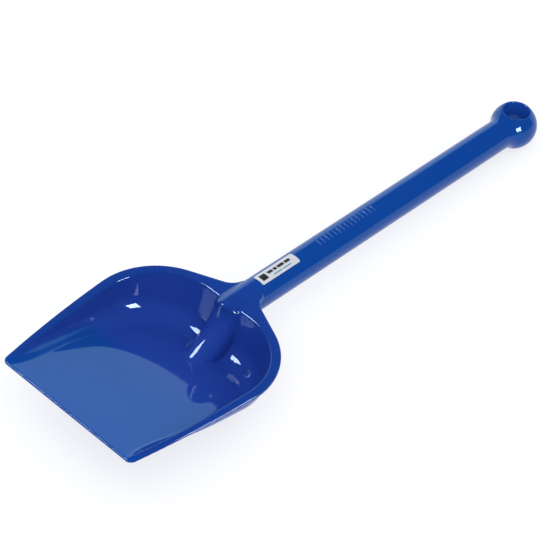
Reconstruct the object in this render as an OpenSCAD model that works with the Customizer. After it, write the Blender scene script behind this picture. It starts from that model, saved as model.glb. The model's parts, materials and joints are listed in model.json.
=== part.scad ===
// One-piece moulded scoop shovel with a round hollow handle, a ball end with a
// hanging hole, and a thin adhesive label on top of the handle.
//
// Working frame of the modules: Y runs along the handle axis, from the front
// edge of the blade (y = 0) to the end of the ball, and Z is measured from the
// handle axis. lay_down() turns the whole object so that the heel of the blade
// and the ball both touch z = 0, with the origin under the middle of the object.

/* [Overall] */
// Length from the front edge of the blade to the end of the ball
total_len = 500; // [460:5:540]
// Height of the flat rim above the handle axis
rim_z = 8; // [6:0.5:9]
// Wall thickness of the moulding
wall = 3; // [2.5:0.25:3.5]

/* [Blade] */
// Largest half-width of the blade, at its rounded back corners
half_w = 76; // [72:0.5:80]
// Radius of the two rounded back corners of the rim
corner_r = 56.5; // [54:0.5:58]
// Distance from the front edge to the centres of the back corners
corner_y = 109.5; // [100:0.5:115]
// Radius of the long, slightly bowed sides of the rim
side_r = 1000; // [900:20:1200]
// Turn of the back corner that belongs to the bowed side, in degrees
side_turn = 3.8; // [3.4:0.1:4.2]
// Radius of the sharp-looking corners at the front edge
tip_r = 4; // [2:0.5:6]
// Rise of the blade's floor towards the front edge, per unit of length
floor_slope = 0.27; // [0.22:0.01:0.28]
// Radius where the floor turns up into the back wall
cove_r = 20; // [14:1:22]
// Radius where the floor turns up into the side walls, near the front
cove_front_r = 10; // [8:1:20]
// Draft of the inner walls from the vertical, in degrees
draft = 10; // [6:1:14]
// Width of the flat flange around the mouth at the back corners
flange_back = 7.5; // [6:0.5:9]
// Width of the flat flange at the front corners
flange_front = 4.5; // [3:0.5:6]
// Radius of the rounded edge between the flange and the inner wall
lip_r = 2.5; // [1.5:0.25:3]
// Thickness of the blade at its front edge
edge_t = 2; // [1.5:0.25:2.5]

/* [Neck and ridge] */
// Turn at which the back corner becomes the straight shoulder, in degrees
shoulder_turn = 65.5; // [64:0.5:67]
// Radius of the flange where it runs into the handle
neck_r = 14; // [12:0.5:16]
// Half-width of the flange where it ends on the handle
neck_half_w = 10.5; // [10:0.25:11]
// Distance from the front edge to the joint plane of blade and handle
neck_y = 186; // [185:0.5:190]
// Distance from the front edge to the foot of the ridge, inside the back wall
foot_y = 136; // [134:0.5:138]
// Radius of the foot of the ridge
foot_r = 9; // [7:0.5:11]
// Distance from the front edge to the ridge's nose at the height of the rim
nose_y = 148; // [146:0.5:150]

/* [Handle] */
// Diameter of the handle
handle_d = 24.5; // [24:0.25:25]
// Diameter of the hollow core of the handle
core_d = 17; // [15:0.5:18]
// Diameter of the ball end
ball_d = 37.5; // [36:0.5:40]
// Diameter of the hanging hole
hole_d = 21; // [18:0.5:22]
// Width of the chamfer at both mouths of the hanging hole
hole_chamfer = 0.8; // [0.5:0.1:1]
// Radius of the hollow where the handle runs into the ball
ball_neck_r = 16; // [12:1:20]
// Solid length between the end of the core and the centre of the ball
core_stop = 30; // [26:1:36]

/* [Label] */
// Length of the label
label_len = 39; // [30:1:42]
// Width of the label, around the handle
label_w = 10.6; // [8:0.2:12]
// Thickness of the label
label_t = 0.2; // [0.15:0.05:0.3]
// Distance from the joint plane of blade and handle to the label
label_gap = 1.5; // [1:0.5:6]

/* [Hidden] */

BLUE = [0.05, 0.16, 0.52];
PAPER = [0.93, 0.93, 0.92];

handle_r = handle_d / 2;
ball_r = ball_d / 2;
ball_y = total_len - ball_r;
corner_x = half_w - corner_r;
mouth_r = corner_r - flange_back;
mouth_back_y = corner_y + mouth_r;
side_cx = corner_x - (side_r - corner_r) * cos(side_turn);
side_cy = corner_y + (side_r - corner_r) * sin(side_turn);
neck_cx = neck_half_w + neck_r;
hole_r = hole_d / 2;
mouth_foot = sqrt(pow(ball_r, 2) - pow(hole_r, 2)) - hole_chamfer;
mouth_edge_r = (hole_r - mouth_foot + sqrt(2 * pow(ball_r, 2) - pow(mouth_foot - hole_r, 2))) / 2;
mouth_edge_z = mouth_foot + mouth_edge_r - hole_r;
neck_cy = corner_y + (corner_r + neck_r - (neck_cx - corner_x) * cos(shoulder_turn)) / sin(shoulder_turn);

// Steps of the rim stations and of the profile's rounded stretches
TIP_STEPS = 4;
SIDE_STEPS = 12;
CORNER_STEPS = 12;
BACK_STEPS = 5;
COVE_STEPS = 7;
EDGE_R = 0.8;
FLOOR_OVERLAP = 10;
// The cove grows from its front radius to its back radius between these two places
COVE_GROWS = [55, 125];

// ---- Outline of the rim and of the mouth, as stations from the front corner to the back
// A station is [point on the rim, point on the mouth, direction from the mouth inwards].
function side_x(y) = side_cx + sqrt(pow(side_r, 2) - pow(side_cy - y, 2));
function tip_cut(y) = y >= tip_r ? 0 : tip_r - sqrt(pow(tip_r, 2) - pow(tip_r - y, 2));
function flange_w(y) = flange_front + (flange_back - flange_front) * y / corner_y;
function side_station(y) =
    [[side_x(y) - tip_cut(y), y], [side_x(y) - tip_cut(y) - flange_w(y), y], [-1, 0]];

// The corner is round up to shoulder_turn, and the rim is straight after that
function corner_station(turn) = let (d = [cos(turn), sin(turn)], c = [corner_x, corner_y])
    [c + d * corner_r / cos(max(0, turn - shoulder_turn)), c + d * mouth_r, -d];

// Behind the mouth the rim follows the straight shoulder, then the neck radius
function shoulder_y(x) = corner_y + (corner_r - (x - corner_x) * cos(shoulder_turn)) / sin(shoulder_turn);
function neck_rim_y(x) =
    x < neck_half_w ? neck_y :
    x > neck_cx - neck_r * cos(shoulder_turn) ? shoulder_y(x) :
    neck_cy - sqrt(pow(neck_r, 2) - pow(neck_cx - x, 2));
function back_station(x) = [[x, neck_rim_y(x)], [x, mouth_back_y], [0, -1]];

half_stations = concat(
    [for (i = [0 : TIP_STEPS - 1]) side_station(tip_r * (1 - cos(90 * i / TIP_STEPS)))],
    [for (i = [0 : SIDE_STEPS - 1]) side_station(tip_r + (corner_y - tip_r) * i / SIDE_STEPS)],
    [for (i = [0 : CORNER_STEPS - 1]) corner_station(90 * i / CORNER_STEPS)],
    [for (i = [0 : BACK_STEPS]) back_station(corner_x * (1 - i / BACK_STEPS))]);
half_count = len(half_stations);

// ---- Section through the wall
// Below the rim the wall leans by the draft and turns into the floor, h down, with radius r
function has_wall(h, r) = h > r * (1 - sin(draft));
function cove_end(h, r) = has_wall(h, r)
    ? (r + (h - r) * sin(draft)) / cos(draft)
    : sqrt(max(0, 2 * r * h - h * h));
function cove_z(q, h, r) = let (e = cove_end(h, r), start = has_wall(h, r) ? e - r * cos(draft) : 0)
    q >= e ? -h :
    q < start ? -q / tan(draft) :
    r - h - sqrt(max(0, r * r - pow(e - max(0, q), 2)));

function floor_depth(y) = floor_slope * y;
function cove_at(y) = let (t = min(1, max(0, (y - COVE_GROWS[0]) / (COVE_GROWS[1] - COVE_GROWS[0]))))
    cove_front_r + (cove_r - cove_front_r) * t * t * (3 - 2 * t);
function thickness(y) = edge_t + (wall - edge_t) * y / mouth_back_y;
function at(s, q) = s[1] + s[2] * q;
function lifted(p, z) = [p[0], p[1], z];

// Top surface, from the floor out to the lip
function top_point(s, q) = let (p = at(s, q))
    lifted(p, rim_z + cove_z(q, floor_depth(p[1]), cove_at(p[1])));
function top_row(s) = let (
        e = max(4, cove_end(floor_depth(s[1][1]), cove_at(s[1][1]))),
        steps = [for (i = [COVE_STEPS : -1 : 1]) e * pow(i / COVE_STEPS, 1.5)],
        lip_q = min(lip_r * tan(draft), steps[COVE_STEPS - 1] / 2),
        drop = min(lip_r / 4, floor_depth(s[1][1]) / 2))
    concat(
        [for (q = concat([e + FLOOR_OVERLAP], steps, [lip_q])) top_point(s, q)],
        [lifted(at(s, -lip_r / 4), rim_z - drop), lifted(at(s, -lip_r), rim_z)]);

// Rounded outer edge of the flange
function rim_point(s, inset, z) = let (d = s[1] - s[0]) lifted(s[0] + d * inset / norm(d), z);
function edge_row(s) = [
    rim_point(s, EDGE_R, rim_z),
    rim_point(s, EDGE_R / 4, rim_z - EDGE_R / 4),
    rim_point(s, 0, rim_z - EDGE_R),
    rim_point(s, 0, rim_z - thickness(s[0][1]))];

// Underside, from the foot of the flange back to the floor
function under_point(s, q) = let (p = at(s, q - wall / cos(draft)), t = thickness(p[1]))
    lifted(p, rim_z + min(-t, cove_z(q, floor_depth(p[1]) + t, cove_at(p[1]) + wall)));
function under_row(s) = let (e = cove_end(floor_depth(s[1][1]) + wall, cove_at(s[1][1]) + wall))
    [for (q = concat([for (i = [0 : COVE_STEPS]) e * pow(i / COVE_STEPS, 1.5)], [e + FLOOR_OVERLAP]))
        under_point(s, q)];

right_rows = [for (s = half_stations) concat(top_row(s), edge_row(s), under_row(s))];
function mirrored(row) = [for (p = row) [-p[0], p[1], p[2]]];
rows = concat(right_rows, [for (i = [half_count - 2 : -1 : 0]) mirrored(right_rows[i])]);
row_count = len(rows);
row_len = len(rows[0]);

// ---- How the object lies: the heel of the blade and the ball's lower mouth rest on one plane
function low(turn, p) = p[2] * cos(turn) - p[1] * sin(turn);
function heel_low(turn) = min([for (row = right_rows) for (p = row) low(turn, p)]);
function ball_low(turn) = low(turn, [0, ball_y + mouth_edge_r, -mouth_edge_z]);
function level(a, b, n) = let (m = (a + b) / 2)
    n == 0 ? m : heel_low(m) < ball_low(m) ? level(m, b, n - 1) : level(a, m, n - 1);
lie_turn = level(0, 8, 24);
lift = -ball_low(lie_turn);
front_end = (rim_z - edge_t) * sin(lie_turn);
back_end = ball_y * cos(lie_turn) + ball_r;

module lay_down() {
    translate([0, -(front_end + back_end) / 2, lift])
        rotate([-lie_turn, 0, 0])
            children();
}

// A round bar along the handle axis, from y = a to y = b
module bar(r, a, b) {
    translate([0, a, 0])
        rotate([-90, 0, 0])
            cylinder(r = r, h = b - a, $fn = 48);
}

// ---- Blade
// The dish: floor, walls and flat flange in one shell. Row i on the right has its mirror
// image in row (row_count - 1 - i), and the rows behind the mouth end on one straight line.
module dish() {
    points = [for (row = rows) each row];
    last = row_count - 1;
    inner = row_len - 1;
    function id(i, j) = i * row_len + j;
    skin = [for (i = [0 : last - 1]) for (j = [0 : inner - 1])
        each [[id(i, j), id(i + 1, j), id(i + 1, j + 1)], [id(i, j), id(i + 1, j + 1), id(i, j + 1)]]];
    corner_end = half_count - BACK_STEPS - 2;
    strips = [for (i = [0 : corner_end - 1]) each [
        [id(i, 0), id(last - i, 0), id(last - i - 1, 0), id(i + 1, 0)],
        [id(i, inner), id(i + 1, inner), id(last - i - 1, inner), id(last - i, inner)]]];
    back_top = [for (i = [last - corner_end : -1 : corner_end]) id(i, 0)];
    back_under = [for (i = [corner_end : last - corner_end]) id(i, inner)];
    front = concat([[id(0, 0), id(0, inner), id(last, inner), id(last, 0)]],
        [for (j = [0 : row_len / 2 - 2]) each [
            [id(0, j), id(0, j + 1), id(0, inner - j - 1), id(0, inner - j)],
            [id(last, j), id(last, inner - j), id(last, inner - j - 1), id(last, j + 1)]]]);
    polyhedron(points, concat(skin, strips, [back_top, back_under], front), convexity = 6);
}

// The ridge: the handle's round nose, drawn down inside the back wall as far as the floor
module nose() {
    translate([0, nose_y + handle_r, 0])
        sphere(r = handle_r, $fn = 48);
}

module ridge() {
    intersection() {
        hull()
            dish();
        hull() {
            nose();
            for (y = [foot_y, mouth_back_y])
                translate([0, y, rim_z - floor_depth(foot_y) + foot_r / 2])
                    sphere(r = foot_r, $fn = 32);
        }
    }
}

// The dish, the neck and the ridge run into each other as one skin, 2 * half_w wide
module blade() {
    color(BLUE)
        lay_down()
            resize([2 * half_w, 0, 0])
                difference() {
                    union() {
                        dish();
                        bar(handle_r, nose_y + handle_r, neck_y);
                        nose();
                        ridge();
                    }
                    bar(core_d / 2, mouth_back_y + wall, neck_y + 1);
                }
}

// ---- Handle
// Half-section of the outside, turned about the handle axis: bar, hollow neck and ball
module handle_outside() {
    dist = handle_r + ball_neck_r;
    back = sqrt(pow(ball_r + ball_neck_r, 2) - pow(dist, 2));
    joint_back = back * ball_r / (ball_r + ball_neck_r);
    translate([0, ball_y, 0])
        sphere(r = ball_r, $fn = 128);
    bar(handle_r, neck_y, ball_y);
    translate([0, ball_y, 0])
        rotate([90, 0, 0])
            rotate_extrude($fn = 128)
                difference() {
                    translate([0, joint_back])
                        square([dist * ball_r / (ball_r + ball_neck_r), back - joint_back]);
                    translate([dist, back])
                        circle(r = ball_neck_r, $fn = 128);
                }
}

// A straight bore through the ball, with a chamfer at each mouth
module hanging_hole() {
    flare = 4 * hole_chamfer;
    translate([0, ball_y, 0]) {
        cylinder(r = hole_r, h = 2 * ball_r + 2, center = true, $fn = 96);
        for (side = [0, 1])
            mirror([0, 0, side])
                translate([0, 0, mouth_foot])
                    cylinder(r1 = hole_r, r2 = hole_r + flare, h = flare, $fn = 96);
    }
}

module handle() {
    color(BLUE)
        lay_down()
            difference() {
                handle_outside();
                bar(core_d / 2, neck_y - 1, ball_y - core_stop);
                translate([0, ball_y - core_stop, 0])
                    sphere(d = core_d, $fn = 96);
                hanging_hole();
            }
}

// ---- Label
// A thin sheet stuck around the top of the handle
module label() {
    half_turn = label_w / 2 / handle_r * 180 / PI;
    start = neck_y + label_gap;
    color(PAPER)
        lay_down()
            translate([0, start + label_len, 0])
                rotate([90, 0, 0])
                    rotate([0, 0, 90 - half_turn])
                        rotate_extrude(angle = 2 * half_turn, $fn = 128)
                            translate([handle_r, 0])
                                square([label_t, label_len]);
}

blade();
handle();
label();
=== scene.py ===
import json
import math

import bpy
import numpy as np
from mathutils import Matrix, Vector


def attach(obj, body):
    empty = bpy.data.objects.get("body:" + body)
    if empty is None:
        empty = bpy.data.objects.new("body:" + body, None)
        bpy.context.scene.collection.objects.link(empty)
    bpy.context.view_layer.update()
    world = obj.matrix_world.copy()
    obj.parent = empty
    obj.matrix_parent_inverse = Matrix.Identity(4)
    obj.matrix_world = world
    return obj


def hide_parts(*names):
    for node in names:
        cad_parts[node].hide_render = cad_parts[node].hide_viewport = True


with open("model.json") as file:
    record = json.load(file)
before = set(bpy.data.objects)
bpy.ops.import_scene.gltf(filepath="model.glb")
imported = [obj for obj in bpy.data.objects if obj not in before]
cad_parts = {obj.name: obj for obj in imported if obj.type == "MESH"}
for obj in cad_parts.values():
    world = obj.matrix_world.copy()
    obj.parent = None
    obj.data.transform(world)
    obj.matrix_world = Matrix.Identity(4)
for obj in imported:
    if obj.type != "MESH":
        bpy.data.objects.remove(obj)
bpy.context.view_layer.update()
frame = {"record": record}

# ---------------------------------------------------------------- measures
# Lengths are in millimetres in the handle frame: Y runs along the handle axis from the front
# edge of the blade, Z is measured from the handle axis. The frame's own values place it.
MM = 0.001
BLADE_STEP = 0.94
HANDLE_STEP = 0.66

TOTAL = 500.0
RIM_Z = 8.0
WALL = 3.0
EDGE_T = 2.0
HALF_W = 76.0
CORNER_R = 56.5
CORNER_Y = 109.5
CORNER_X = HALF_W - CORNER_R
SIDE_R = 1000.0
SIDE_TURN = math.radians(3.8)
TIP_R = 4.0
SLOPE = 0.27
COVE_R = 20.0
COVE_FRONT_R = 10.0
COVE_GROWS = (55.0, 125.0)
DRAFT = math.radians(10.0)
FLANGE_BACK = 7.5
FLANGE_FRONT = 4.5
LIP_R = 1.8
RIM_EDGE_R = 1.0
SHOULDER = math.radians(65.5)
NECK_R = 14.0
NECK_HALF_W = 10.5
NECK_END = 183.0
JOINT_Y = 186.0
HANDLE_R = 12.25
BALL_R = 18.75
BALL_Y = TOTAL - BALL_R
BALL_NECK_R = 16.0
HOLE_R = frame["record"]["mounts"][0]["dims"]["r_mm"]
HOLE_EDGE_R = 1.8

RIDGE_R = 12.0
RIDGE_LEAN = 0.25
RIDGE_SWEEP = 0.030
SWEEP_FROM = 6.0
RIDGE_FILLET = 1.2
COVE_FILLET = 1.8
NOSE_Y = 149.0
NOSE_EDGE_R = 1.6
NOSE_TOP_R = 0.6
NOSE_TOP_Y = 156.0
BAR_FROM_Y = 145.0
BAR_BURIED = 2.8
UNDER_EDGE_R = 0.8
TIP_EDGE_R = 0.3

MOUTH_R = CORNER_R - FLANGE_BACK
MOUTH_BACK = CORNER_Y + MOUTH_R
SIDE_CX = CORNER_X - (SIDE_R - CORNER_R) * math.cos(SIDE_TURN)
SIDE_CY = CORNER_Y + (SIDE_R - CORNER_R) * math.sin(SIDE_TURN)
NECK_CX = NECK_HALF_W + NECK_R
NECK_CY = CORNER_Y + (CORNER_R + NECK_R - (NECK_CX - CORNER_X) * math.cos(SHOULDER)) / math.sin(SHOULDER)


# ---------------------------------------------------------------- shape as a distance field
def cut(a, b, r):
    """Both bodies at once, with the edge between them rounded."""
    return np.minimum(-r, np.maximum(a, b)) + np.hypot(np.maximum(a + r, 0), np.maximum(b + r, 0))


def join(a, b, r):
    """Either body, with a hollow fillet between them."""
    return np.maximum(r, np.minimum(a, b)) - np.hypot(np.maximum(r - a, 0), np.maximum(r - b, 0))


def smooth(t):
    t = np.clip(t, 0, 1)
    return t * t * (3 - 2 * t)


def rim_distance(x, y):
    """Signed distance to the outline of the rim in plan."""
    px, py = x - CORNER_X, y - CORNER_Y
    turn = np.arctan2(py, px)
    corner = np.hypot(px, py) - CORNER_R
    side = np.hypot(x - SIDE_CX, y - SIDE_CY) - SIDE_R
    shoulder = px * math.cos(SHOULDER) + py * math.sin(SHOULDER) - CORNER_R
    d = np.where(turn > SHOULDER, shoulder, np.where(turn > -SIDE_TURN, corner, side))
    vx, vy = x - NECK_CX, y - NECK_CY
    in_neck = (vy <= 0) & (vy * math.cos(SHOULDER) - vx * math.sin(SHOULDER) >= 0)
    d = np.where(in_neck, NECK_R - np.hypot(vx, vy), np.where(vy > 0, x - NECK_HALF_W, d))
    d = cut(d, y - NECK_END, 2.0)
    return cut(d, -y, TIP_R)


def mouth_depth(x, y):
    """Distance inside the mouth of the blade, in plan."""
    px, py = x - CORNER_X, y - CORNER_Y
    flange = FLANGE_FRONT + (FLANGE_BACK - FLANGE_FRONT) * y / CORNER_Y
    side = SIDE_CX + np.sqrt(SIDE_R**2 - (SIDE_CY - y) ** 2) - flange - x
    corner = MOUTH_R - np.hypot(px, py)
    return np.where(py <= 0, side, np.where(px <= 0, MOUTH_BACK - y, corner))


def hollow(x, y, z):
    """Signed distance to the hollow of the blade: sloping floor, cove and drafted wall."""
    q = mouth_depth(x, y)
    h = SLOPE * np.maximum(y, 0)
    grown = smooth((y - COVE_GROWS[0]) / (COVE_GROWS[1] - COVE_GROWS[0]))
    cove = COVE_FRONT_R + (COVE_R - COVE_FRONT_R) * grown
    sin_d, cos_d = math.sin(DRAFT), math.cos(DRAFT)
    walled = h > cove * (1 - sin_d)
    end = np.where(
        walled,
        (cove + (h - cove) * sin_d) / cos_d,
        np.sqrt(np.maximum(0, 2 * cove * h - h * h)),
    )
    v, w = q - end, z - (RIM_Z - h + cove)
    arc = np.hypot(v, w) - cove
    wall = -v * cos_d - w * sin_d - cove
    floor = (RIM_Z - h - z) / math.hypot(1, SLOPE)
    above = w * cos_d - v * sin_d > 0
    return np.where(v >= 0, floor, np.where(walled & above, wall, arc))


def blade_field(x, y, z):
    thick = EDGE_T + (WALL - EDGE_T) * np.clip(y / MOUTH_BACK, 0, 1)
    inner = hollow(x, y, z)
    outline = rim_distance(x, y)
    under = join(inner - thick, RIM_Z - thick - z, 1.5)
    lip = TIP_EDGE_R + (LIP_R - TIP_EDGE_R) * smooth(SLOPE * y / 12)
    block = cut(z - RIM_Z, -inner, lip)

    def trim(body):
        return cut(cut(body, outline, RIM_EDGE_R), under, UNDER_EDGE_R)

    # The ridge: half-round in plan, its front sweeps forward as it goes down to the floor
    bar = np.hypot(x, z) - HANDLE_R
    top = np.where(z > 0, bar, x - HANDLE_R)
    down = RIM_Z - z
    swept = np.clip(down - SWEEP_FROM, 0, 30)
    lean = RIDGE_LEAN + 2 * RIDGE_SWEEP * swept
    front = NOSE_Y - RIDGE_LEAN * down - RIDGE_SWEEP * swept**2
    ahead = (front - y) / np.sqrt(1 + lean**2) + RIDGE_R
    column = np.where(ahead > 0, np.hypot(x, ahead), x) - RIDGE_R
    edge = NOSE_TOP_R + (NOSE_EDGE_R - NOSE_TOP_R) * smooth((NOSE_TOP_Y - y) / 6)
    fillet = RIDGE_FILLET + (COVE_FILLET - RIDGE_FILLET) * smooth((7 - z) / 12)
    ridge = trim(join(block, cut(column, top, edge), fillet))

    # The neck: the handle's own round bar, which starts inside the back wall
    tail = np.maximum(np.maximum(bar, BAR_BURIED - inner), BAR_FROM_Y - y)
    neck = join(trim(block), tail, RIDGE_FILLET + 1.8 * smooth((7 - z) / 7))
    return np.minimum(ridge, neck)


def handle_field(x, y, z):
    rho, s = np.hypot(x, z), BALL_Y - y
    out = HANDLE_R + BALL_NECK_R
    back = math.sqrt((BALL_R + BALL_NECK_R) ** 2 - out**2)
    vr, vs = rho - out, s - back
    in_neck = (vs <= 0) & (vs * out - vr * back >= 0)
    d = np.where(vs > 0, rho - HANDLE_R, np.hypot(rho, s) - BALL_R)
    d = np.where(in_neck, BALL_NECK_R - np.hypot(vr, vs), d)
    return cut(d, HOLE_R - np.hypot(x, y - BALL_Y), HOLE_EDGE_R)


# ---------------------------------------------------------------- mesh from the field
CORNERS = [(i, j, k) for i in (0, 1) for j in (0, 1) for k in (0, 1)]
CELL_EDGES = [
    (a, b)
    for a in range(8)
    for b in range(a + 1, 8)
    if sum(abs(m - n) for m, n in zip(CORNERS[a], CORNERS[b])) == 1
]


def nodes(low, high, centre, step):
    """Grid nodes that cover low to high, with a cell centred on `centre`."""
    first = math.floor((low - centre) / step - 0.5)
    last = math.ceil((high - centre) / step - 0.5)
    return centre + step * (np.arange(first, last + 1) + 0.5)


def gradient(field, p, reach=0.02):
    g = np.empty_like(p)
    for axis in range(3):
        a, b = p.copy(), p.copy()
        a[:, axis] += reach
        b[:, axis] -= reach
        ahead = field(np.abs(a[:, 0]), a[:, 1], a[:, 2])
        behind = field(np.abs(b[:, 0]), b[:, 1], b[:, 2])
        g[:, axis] = (ahead - behind) / (2 * reach)
    return g


def settle(field, p, rounds, step):
    for _ in range(rounds):
        g = gradient(field, p)
        f = field(np.abs(p[:, 0]), p[:, 1], p[:, 2])
        move = g * (f / np.maximum((g * g).sum(1), 0.05))[:, None]
        size = np.linalg.norm(move, axis=1, keepdims=True)
        p = p - move * np.minimum(1, step / np.maximum(size, 1e-9))
    return p


def net(field, xs, ys, zs, step):
    """One vertex in each cell that the surface crosses, one four-sided face for each crossed edge."""
    f = field(xs[:, None, None], ys[None, :, None], zs[None, None, :])
    f = np.broadcast_to(f, (len(xs), len(ys), len(zs)))
    inside = f < 0
    shape = tuple(n - 1 for n in f.shape)
    count = sum(
        inside[i : i + shape[0], j : j + shape[1], k : k + shape[2]].astype(np.int8) for i, j, k in CORNERS
    )
    cells = np.argwhere((count > 0) & (count < 8))
    ids = np.full(shape, -1, np.int64)
    ids[tuple(cells.T)] = np.arange(len(cells))
    value = np.stack([f[tuple((cells + c).T)] for c in CORNERS], 1)
    corner = np.array(CORNERS, float)
    total, hits = np.zeros((len(cells), 3)), np.zeros(len(cells))
    for a, b in CELL_EDGES:
        crossed = (value[:, a] < 0) != (value[:, b] < 0)
        t = np.where(crossed, value[:, a] / np.where(crossed, value[:, a] - value[:, b], 1), 0)
        total += crossed[:, None] * (corner[a] + t[:, None] * (corner[b] - corner[a]))
        hits += crossed
    first = np.array([xs[0], ys[0], zs[0]])
    verts = first + step * (cells + total / hits[:, None])
    centres = first + step * (cells + 0.5)
    verts[cells[:, 0] == 0, 0] = 0
    quads = []
    for axis in range(3):
        b, c = (axis + 1) % 3, (axis + 2) % 3
        low, high = [slice(None)] * 3, [slice(None)] * 3
        low[axis], high[axis] = slice(0, -1), slice(1, None)
        change = inside[tuple(low)].astype(np.int8) - inside[tuple(high)]
        at = np.argwhere(change)
        keep = (at[:, b] > 0) & (at[:, c] > 0) & (at[:, b] < shape[b]) & (at[:, c] < shape[c])
        at = at[keep]
        sign = change[tuple(at.T)]
        ring = []
        for db, dc in ((1, 1), (0, 1), (0, 0), (1, 0)):
            cell = at.copy()
            cell[:, b] -= db
            cell[:, c] -= dc
            ring.append(ids[tuple(cell.T)])
        ring = np.stack(ring, 1)
        quads.append(np.where(sign[:, None] > 0, ring, ring[:, ::-1]))
    return verts, centres, np.concatenate(quads)


def full_surface(field, step, y_range, low, high):
    """Nets the half with x >= 0, adds its mirror image, evens out the vertices and finds the normals."""
    ys = nodes(*y_range, JOINT_Y, step)
    half, centres, quads = net(field, nodes(0, high[0], 0, step), ys, nodes(low[2], high[2], 0, step), step)
    on_joint = np.abs(centres[:, 1] - JOINT_Y) < step / 4
    mid = half[:, 0] == 0
    other = np.arange(len(half))
    other[~mid] = len(half) + np.arange((~mid).sum())
    verts = np.concatenate([half, half[~mid] * [-1, 1, 1]])
    centres = np.concatenate([centres, centres[~mid] * [-1, 1, 1]])
    on_joint = np.concatenate([on_joint, on_joint[~mid]])
    middle = np.concatenate([mid, np.zeros((~mid).sum(), bool)])
    faces = np.concatenate([quads, other[quads][:, ::-1]])
    pairs = np.concatenate([faces[:, [0, 1]], faces[:, [1, 2]], faces[:, [2, 3]], faces[:, [3, 0]]])
    radius = np.hypot(centres[:, 0], centres[:, 2])

    def fix(p):
        p[on_joint, 1] = JOINT_Y
        for axis in (0, 2):
            p[on_joint, axis] = centres[on_joint, axis] / radius[on_joint] * HANDLE_R
        p[middle, 0] = 0
        return p

    verts = fix(settle(field, verts, 3, step))
    near = np.bincount(pairs[:, 0], minlength=len(verts)).astype(float)
    for _ in range(3):
        mean = np.stack([np.bincount(pairs[:, 0], verts[pairs[:, 1], a], len(verts)) for a in range(3)], 1)
        moved = np.where(near[:, None] > 2.5, mean / np.maximum(near, 1)[:, None], verts)
        verts = fix(settle(field, fix(0.5 * verts + 0.5 * moved), 2, step))
    normals = gradient(field, verts)
    normals /= np.maximum(np.linalg.norm(normals, axis=1, keepdims=True), 1e-9)
    ring = np.flatnonzero(on_joint)
    ring = ring[np.argsort(np.arctan2(verts[ring, 2], verts[ring, 0]))]
    return verts, normals, faces, ring


# ---------------------------------------------------------------- place in the shared frame
hole = frame["record"]["mounts"][0]
UP = Vector(hole["axis"]).normalized()
ALONG = Vector((0, UP.z, -UP.y))
ORIGIN = Vector(hole["pos_m"]) - ALONG * BALL_Y * MM
PLACE = np.array([[1, 0, 0], list(ALONG), list(UP)])


def to_row(p):
    return (np.asarray(p) * MM) @ PLACE + np.array(ORIGIN)


def add_object(name, verts, polygons, node, material, normals=None, cap=None):
    """A mesh object in the row frame; `cap` closes it with one flat face whose normal is given."""
    mesh = bpy.data.meshes.new(name)
    mesh.from_pydata(to_row(verts).tolist(), [], [list(map(int, f)) for f in polygons])
    mesh.polygons.foreach_set("use_smooth", [True] * len(mesh.polygons))
    mesh.update()
    if normals is not None:
        turned = np.asarray(normals) @ PLACE
        loops = np.empty(len(mesh.loops), np.int32)
        mesh.loops.foreach_get("vertex_index", loops)
        per_loop = turned[loops]
        if cap is not None:
            last = mesh.polygons[len(mesh.polygons) - 1]
            per_loop[last.loop_start : last.loop_start + last.loop_total] = np.asarray(cap) @ PLACE
        mesh.normals_split_custom_set(per_loop.tolist())
    mesh.materials.append(material)
    piece = bpy.data.objects.new(name, mesh)
    bpy.context.scene.collection.objects.link(piece)
    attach(piece, "root")
    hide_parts(node)
    return piece


# ---------------------------------------------------------------- materials
# Colours are linear. Inside the scoop the blue leans to violet, painted bounce light; the flange and the
# neck are a little darker than the handle, painted shade; the wall of the hanging hole is a shade lighter,
# painted light;
# the paler blue of the raised bars is a painted highlight.
HANDLE_BLUE = ((0.0042, 0.0550, 0.305), (0.0055, 0.0605, 0.335))
RELIEF_HIGHLIGHT_BLUE = ((0.025, 0.100, 0.385), (0.038, 0.122, 0.420))
SCOOP_BOUNCE_LIGHT_BLUE = (0.0165, 0.0540, 0.345, 1)
FLANGE_SHADE_BLUE = (0.0095, 0.0465, 0.285, 1)
BORE_PAINTED_LIGHT_BLUE = (0.0120, 0.0800, 0.430, 1)
GLOSS_TINT = (0.42, 0.86, 1.0, 1)
# The planes of the scoop's floor and rim in the shared frame: fall along +y, height at y = 0
FLOOR_PLANE = (0.322, 0.03358)
RIM_PLANE = (0.053, -0.03396)


def new_material(name):
    m = bpy.data.materials.new(name)
    m.use_nodes = True
    tree = m.node_tree
    return m, tree, tree.nodes["Principled BSDF"]


def node(tree, kind, **values):
    n = tree.nodes.new(kind)
    for key, value in values.items():
        if hasattr(n, key):
            setattr(n, key, value)
        else:
            n.inputs[key.replace("_", " ")].default_value = value
    return n


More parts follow.
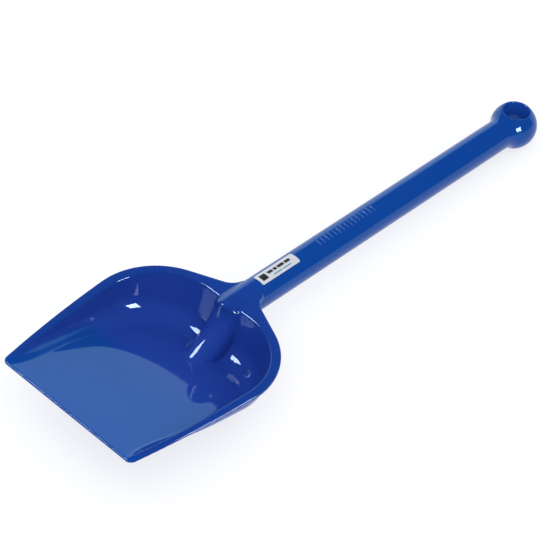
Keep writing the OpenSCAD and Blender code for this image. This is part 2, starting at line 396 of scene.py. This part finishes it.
def moulding_material(name, low, high):
    """Glossy blue plastic whose colour drifts between `low` and `high`, with painted bounce light inside
    the scoop, painted shade on the flange and neck, and painted light on the wall of the hanging hole.
    """
    m, tree, shader = new_material(name)
    link = tree.links.new
    place = node(tree, "ShaderNodeTexCoord")
    cloud = node(tree, "ShaderNodeTexNoise", Scale=14.0, Detail=3.0)
    fine = node(tree, "ShaderNodeTexNoise", Scale=420.0, Detail=2.0)
    swell = node(tree, "ShaderNodeTexNoise", Scale=34.0, Detail=1.0)
    for n in (cloud, fine, swell):
        link(place.outputs["Object"], n.inputs["Vector"])
    tint = node(tree, "ShaderNodeMix", data_type="RGBA")
    tint.inputs[6].default_value = (*low, 1)
    tint.inputs[7].default_value = (*high, 1)
    link(cloud.outputs["Fac"], tint.inputs[0])

    parts = node(tree, "ShaderNodeSeparateXYZ")
    link(place.outputs["Object"], parts.inputs["Vector"])

    def above(slope, offset):
        """z + slope * y + offset: height over a plane that falls by `slope` along +y."""
        dot = node(tree, "ShaderNodeVectorMath", operation="DOT_PRODUCT")
        dot.inputs[1].default_value = (0, slope, 1)
        link(place.outputs["Object"], dot.inputs[0])
        add = node(tree, "ShaderNodeMath", operation="ADD")
        add.inputs[1].default_value = offset
        link(dot.outputs["Value"], add.inputs[0])
        return add.outputs[0]

    def ramp(value, start, end):
        n = node(tree, "ShaderNodeMapRange", interpolation_type="SMOOTHSTEP")
        n.inputs["From Min"].default_value = start
        n.inputs["From Max"].default_value = end
        link(value, n.inputs["Value"])
        return n.outputs["Result"]

    def combine(kind, a, b):
        n = node(tree, "ShaderNodeMath", operation=kind)
        link(a, n.inputs[0])
        link(b, n.inputs[1])
        return n.outputs[0]

    def blend(colour, fac, other):
        n = node(tree, "ShaderNodeMix", data_type="RGBA")
        n.inputs[7].default_value = other
        link(fac, n.inputs[0])
        link(colour, n.inputs[6])
        return n.outputs[2]

    over_floor = above(*FLOOR_PLANE)
    over_rim = above(*RIM_PLANE)
    blade_only = ramp(parts.outputs["Y"], -0.050, -0.105)
    at_back = ramp(parts.outputs["Y"], -0.180, -0.150)
    # Painted bounce light: the inside of the scoop takes a lighter, violet blue.
    inside = combine("MAXIMUM", ramp(over_floor, 0.001, 0.007), at_back)
    # Painted shade: the band of the flange at the rim and the neck takes a darker blue.
    flange = combine("MULTIPLY", ramp(over_rim, -0.0025, -0.0005), ramp(over_floor, 0.001, 0.004))
    colour = blend(tint.outputs[2], combine("MULTIPLY", inside, blade_only), SCOOP_BOUNCE_LIGHT_BLUE)
    colour = blend(colour, combine("MULTIPLY", flange, blade_only), FLANGE_SHADE_BLUE)

    # Painted light: the wall of the hanging hole takes a lighter blue.
    from_hole = node(tree, "ShaderNodeVectorMath", operation="SUBTRACT")
    from_hole.inputs[1].default_value = hole["pos_m"]
    link(place.outputs["Object"], from_hole.inputs[0])
    across = node(tree, "ShaderNodeVectorMath", operation="CROSS_PRODUCT")
    across.inputs[1].default_value = UP
    link(from_hole.outputs["Vector"], across.inputs[0])
    far = node(tree, "ShaderNodeVectorMath", operation="LENGTH")
    link(across.outputs["Vector"], far.inputs[0])
    bore_light = ramp(far.outputs["Value"], HOLE_R * MM + 0.0012, HOLE_R * MM + 0.0004)
    colour = blend(colour, bore_light, BORE_PAINTED_LIGHT_BLUE)
    link(colour, shader.inputs["Base Color"])

    rough = node(tree, "ShaderNodeMapRange")
    rough.inputs["To Min"].default_value = 0.03
    rough.inputs["To Max"].default_value = 0.07
    link(cloud.outputs["Fac"], rough.inputs["Value"])
    link(rough.outputs["Result"], shader.inputs["Roughness"])
    bump = node(tree, "ShaderNodeBump", Strength=0.08, Distance=0.0004)
    bump2 = node(tree, "ShaderNodeBump", Strength=0.03, Distance=0.00006)
    link(swell.outputs["Fac"], bump.inputs["Height"])
    link(fine.outputs["Fac"], bump2.inputs["Height"])
    link(bump.outputs["Normal"], bump2.inputs["Normal"])
    link(bump2.outputs["Normal"], shader.inputs["Normal"])
    shader.inputs["IOR"].default_value = 1.42
    shader.inputs["Specular Tint"].default_value = GLOSS_TINT
    return m


# The plain shapes on the label in millimetres: start and end along it, then across it
INK_BOXES = [
    (2.6, 8.4, -2.9, 2.9),
    (10.6, 15.6, -0.3, 2.4),
    (16.6, 19.8, -0.3, 2.4),
    (20.8, 27.2, -0.3, 2.4),
    (28.2, 33.6, -0.3, 2.4),
]
LINE_BOXES = [(13.5, 22.0, -3.3, -2.3), (23.0, 31.5, -3.3, -2.3)]


def label_material():
    m, tree, shader = new_material("label_sheet")
    link = tree.links.new
    uv = node(tree, "ShaderNodeUVMap", uv_map="sheet")
    parts = node(tree, "ShaderNodeSeparateXYZ")
    link(uv.outputs["UV"], parts.inputs["Vector"])

    def math_node(kind, a, b=None, clamp=False):
        n = tree.nodes.new("ShaderNodeMath")
        n.operation = kind
        n.use_clamp = clamp
        for i, v in enumerate((a, b)):
            if v is None:
                continue
            if isinstance(v, (int, float)):
                n.inputs[i].default_value = v
            else:
                link(v, n.inputs[i])
        return n.outputs[0]

    def patch(u0, u1, v0, v1):
        """1 inside a rectangle of the sheet, in millimetres along and across it."""
        u, v = parts.outputs["X"], parts.outputs["Y"]
        off_u = math_node("ABSOLUTE", math_node("SUBTRACT", u, (u0 + u1) / 2))
        off_v = math_node("ABSOLUTE", math_node("SUBTRACT", v, (v0 + v1) / 2))
        inside_u = math_node("SUBTRACT", (u1 - u0) / 2, off_u)
        inside_v = math_node("SUBTRACT", (v1 - v0) / 2, off_v)
        edge = math_node("MULTIPLY", math_node("MINIMUM", inside_u, inside_v), 12.0)
        return math_node("ADD", edge, 0.5, clamp=True)

    def patches(boxes):
        total = patch(*boxes[0])
        for box in boxes[1:]:
            total = math_node("MAXIMUM", total, patch(*box))
        return total

    ink = patches(INK_BOXES)
    colour_ink = patches(LINE_BOXES)
    paper = node(tree, "ShaderNodeTexNoise", Scale=900.0, Detail=3.0)
    place = node(tree, "ShaderNodeTexCoord")
    link(place.outputs["Object"], paper.inputs["Vector"])
    white = node(tree, "ShaderNodeMix", data_type="RGBA")
    white.inputs[6].default_value = (0.60, 0.62, 0.66, 1)
    white.inputs[7].default_value = (0.70, 0.71, 0.74, 1)
    link(paper.outputs["Fac"], white.inputs[0])
    shown = node(tree, "ShaderNodeMix", data_type="RGBA")
    link(ink, shown.inputs[0])
    link(white.outputs[2], shown.inputs[6])
    shown.inputs[7].default_value = (0.02, 0.02, 0.03, 1)
    lined = node(tree, "ShaderNodeMix", data_type="RGBA")
    link(colour_ink, lined.inputs[0])
    link(shown.outputs[2], lined.inputs[6])
    lined.inputs[7].default_value = (0.08, 0.30, 0.50, 1)
    link(lined.outputs[2], shader.inputs["Base Color"])
    rough = node(tree, "ShaderNodeMapRange")
    rough.inputs["To Min"].default_value = 0.22
    rough.inputs["To Max"].default_value = 0.38
    link(paper.outputs["Fac"], rough.inputs["Value"])
    link(rough.outputs["Result"], shader.inputs["Roughness"])
    return m


def floor_material():
    m, tree, shader = new_material("pale_floor")
    shader.inputs["Base Color"].default_value = (0.34, 0.34, 0.34, 1)
    shader.inputs["Emission Color"].default_value = (1.0, 1.0, 1.0, 1)
    shader.inputs["Emission Strength"].default_value = 0.70
    shader.inputs["Roughness"].default_value = 0.9
    shader.inputs["Specular IOR Level"].default_value = 0.1
    return m


blue = moulding_material("blue_moulding", *HANDLE_BLUE)
# The raised bars' paler blue is a painted highlight, for the light their edges catch.
relief_highlight_paint = moulding_material("relief_painted_highlight", *RELIEF_HIGHLIGHT_BLUE)
paper = label_material()

# ---------------------------------------------------------------- blade and handle
verts, normals, faces, ring = full_surface(
    blade_field, BLADE_STEP, (-2, JOINT_Y), (0, 0, -42), (HALF_W + 2, 0, HANDLE_R + 2)
)
add_object(
    "blade_body", verts, list(faces) + [ring[::-1]], "blade", blue, normals, cap=(0, 1, 0)
)
verts, normals, faces, ring = full_surface(
    handle_field, HANDLE_STEP, (JOINT_Y, TOTAL + 2), (0, 0, -BALL_R - 2), (BALL_R + 2, 0, BALL_R + 2)
)
add_object(
    "handle_body", verts, list(faces) + [ring], "handle", blue, normals, cap=(0, -1, 0)
)

# ---------------------------------------------------------------- label
LABEL_START = JOINT_Y + 1.5
LABEL_LEN = 39.0
LABEL_W = 10.6
LABEL_T = 0.2
BAR_START = 250.0
BAR_PITCH = 4.2
BAR_COUNT = 15
BAR_LEN = 1.5
BAR_W = 7.5
BAR_T = 0.5
BAR_TURN = math.radians(1.0)
SINK = 0.05


def pad(start, length, width, rise, corner, bevel, turn, steps):
    """A thin pad with rounded corners that follows the handle and reaches just into it."""
    nu, nv = steps
    u = np.linspace(0, length, nu)
    inset = np.maximum(0, corner - np.minimum(u, length - u))
    half = width / 2 - corner + np.sqrt(np.maximum(0, corner**2 - inset**2))
    v = np.linspace(-1, 1, nv)[None, :] * half[:, None]
    grid_u = np.repeat(u[:, None], nv, 1)
    margin = np.minimum(np.minimum(grid_u, length - grid_u), half[:, None] - np.abs(v))
    lift = rise * (smooth(margin / bevel) if bevel else np.ones_like(v))
    points, coords = [], []
    for r in (HANDLE_R + lift, np.full_like(v, HANDLE_R - SINK)):
        angle = turn + v / HANDLE_R
        points.append(np.stack([r * np.sin(angle), start + grid_u, r * np.cos(angle)], -1).reshape(-1, 3))
        coords.append(np.stack([grid_u, -v], -1).reshape(-1, 2))
    n = nu * nv
    quads = []
    for i in range(nu - 1):
        for j in range(nv - 1):
            a, b, c, d = i * nv + j, i * nv + j + 1, (i + 1) * nv + j + 1, (i + 1) * nv + j
            quads.append((a, b, c, d))
            quads.append((n + d, n + c, n + b, n + a))
    edge = [i * nv for i in range(nu)] + [(nu - 1) * nv + j for j in range(1, nv)]
    edge += [i * nv + nv - 1 for i in range(nu - 2, -1, -1)] + [j for j in range(nv - 2, -1, -1)]
    for a, b in zip(edge, edge[1:]):
        quads.append((a, b, n + b, n + a))
    return np.concatenate(points), np.array(quads), np.concatenate(coords)


points, quads, sheet_uv = pad(LABEL_START, LABEL_LEN, LABEL_W, LABEL_T, 1.2, 0, 0, (79, 25))
label = add_object("label_sheet", points, quads, "label", paper)
layer = label.data.uv_layers.new(name="sheet")
for loop in label.data.loops:
    layer.data[loop.index].uv = sheet_uv[loop.vertex_index]
label.data.polygons.foreach_set("use_smooth", [False] * len(label.data.polygons))

# ---------------------------------------------------------------- plain raised bars on the handle
points, quads = [], []
for i in range(BAR_COUNT):
    p, q, _ = pad(BAR_START + i * BAR_PITCH, BAR_LEN, BAR_W, BAR_T, 0.7, 0.5, BAR_TURN, (15, 33))
    quads.append(q + i * len(p))
    points.append(p)
# The bars take the paler blue, a painted highlight.
add_object("raised_bars", np.concatenate(points), np.concatenate(quads), "handle", relief_highlight_paint)

# ---------------------------------------------------------------- floor, light and camera
FLOOR_HALF = 30.0
floor_mesh = bpy.data.meshes.new("floor")
floor_corners = [(-1, -1, 0), (1, -1, 0), (1, 1, 0), (-1, 1, 0)]
floor_mesh.from_pydata([Vector(c) * FLOOR_HALF for c in floor_corners], [], [(0, 1, 2, 3)])
floor_mesh.materials.append(floor_material())
floor = bpy.data.objects.new("floor", floor_mesh)
bpy.context.scene.collection.objects.link(floor)

CAMERA_AT = Vector((0.7780, -0.9746, 1.2563))
CAMERA_BACK = Vector((0.45207, -0.54069, 0.70943)).normalized()
CAMERA_RIGHT = Vector((0.72091, 0.68984, 0.06637))
LENS = 156.03


def add_camera():
    data = bpy.data.cameras.new("camera")
    data.lens = LENS
    data.sensor_width = 36.0
    data.clip_end = 100.0
    right = (CAMERA_RIGHT - CAMERA_BACK * CAMERA_RIGHT.dot(CAMERA_BACK)).normalized()
    up = CAMERA_BACK.cross(right)
    turn = Matrix((right, up, CAMERA_BACK)).transposed().to_4x4()
    camera = bpy.data.objects.new("camera", data)
    camera.matrix_world = Matrix.Translation(CAMERA_AT) @ turn
    bpy.context.scene.collection.objects.link(camera)
    bpy.context.scene.camera = camera


add_camera()


def add_softbox(name, place, target, width, height, power):
    """An area light at `place` that faces `target`, both in metres in the shared frame."""
    data = bpy.data.lights.new(name, "AREA")
    data.shape = "RECTANGLE"
    data.size, data.size_y, data.energy = width, height, power
    lamp = bpy.data.objects.new(name, data)
    lamp.location = place
    lamp.rotation_euler = (Vector(place) - Vector(target)).to_track_quat("Z", "Y").to_euler()
    bpy.context.scene.collection.objects.link(lamp)
    return lamp


LAMP_TINT = (1.0, 0.64, 0.70)

# The wide fill gives the even light; the two small softboxes are only seen in the gloss.
fill = add_softbox("fill", (0.2, -0.2, 3.0), (0, 0, 0), 14.0, 14.0, 480.0)
fill.visible_glossy = False
front = add_softbox("front", CAMERA_BACK * 2.6, (0, 0, 0), 3.0, 3.0, 32.0)
front.visible_glossy = False
side = add_softbox("side", to_row((442, 266, 164)), to_row((0, 300, 0)), 0.17, 0.17, 5.0)
side.data.color = LAMP_TINT
side.visible_diffuse = False
top = add_softbox("top", (-0.92, -0.86, 1.56), (0, 0, 0), 0.62, 0.62, 52.0)
top.data.color = LAMP_TINT
top.visible_diffuse = False


def build_world():
    """A bright backdrop low behind the object and a dark room above and around it."""
    world = bpy.data.worlds.new("studio")
    bpy.context.scene.world = world
    world.use_nodes = True
    tree = world.node_tree
    link = tree.links.new
    heading = tree.nodes.new("ShaderNodeVectorMath")
    heading.operation = "DOT_PRODUCT"
    heading.inputs[1].default_value = (-0.62, 0.785, 0.0)
    where = tree.nodes.new("ShaderNodeTexCoord")
    split = tree.nodes.new("ShaderNodeSeparateXYZ")
    link(where.outputs["Generated"], heading.inputs[0])
    link(where.outputs["Generated"], split.inputs["Vector"])
    ahead = tree.nodes.new("ShaderNodeMapRange")
    ahead.interpolation_type = "SMOOTHSTEP"
    for i, value in ((1, 0.22), (2, 0.45), (3, 0.0), (4, 1.0)):
        ahead.inputs[i].default_value = value
    low = tree.nodes.new("ShaderNodeMapRange")
    low.interpolation_type = "SMOOTHSTEP"
    for i, value in ((1, 0.38), (2, 0.50), (3, 1.0), (4, 0.0)):
        low.inputs[i].default_value = value
    link(heading.outputs["Value"], ahead.inputs["Value"])
    link(split.outputs["Z"], low.inputs["Value"])
    both = tree.nodes.new("ShaderNodeMath")
    both.operation = "MULTIPLY"
    link(ahead.outputs["Result"], both.inputs[0])
    link(low.outputs["Result"], both.inputs[1])
    mix = tree.nodes.new("ShaderNodeMix")
    mix.data_type = "RGBA"
    mix.inputs[6].default_value = (0.03, 0.03, 0.032, 1)
    mix.inputs[7].default_value = (1.0, 1.34, 1.52, 1)
    link(both.outputs["Value"], mix.inputs[0])
    link(mix.outputs[2], tree.nodes["Background"].inputs["Color"])


build_world()

bpy.context.scene.view_settings.view_transform = "Standard"
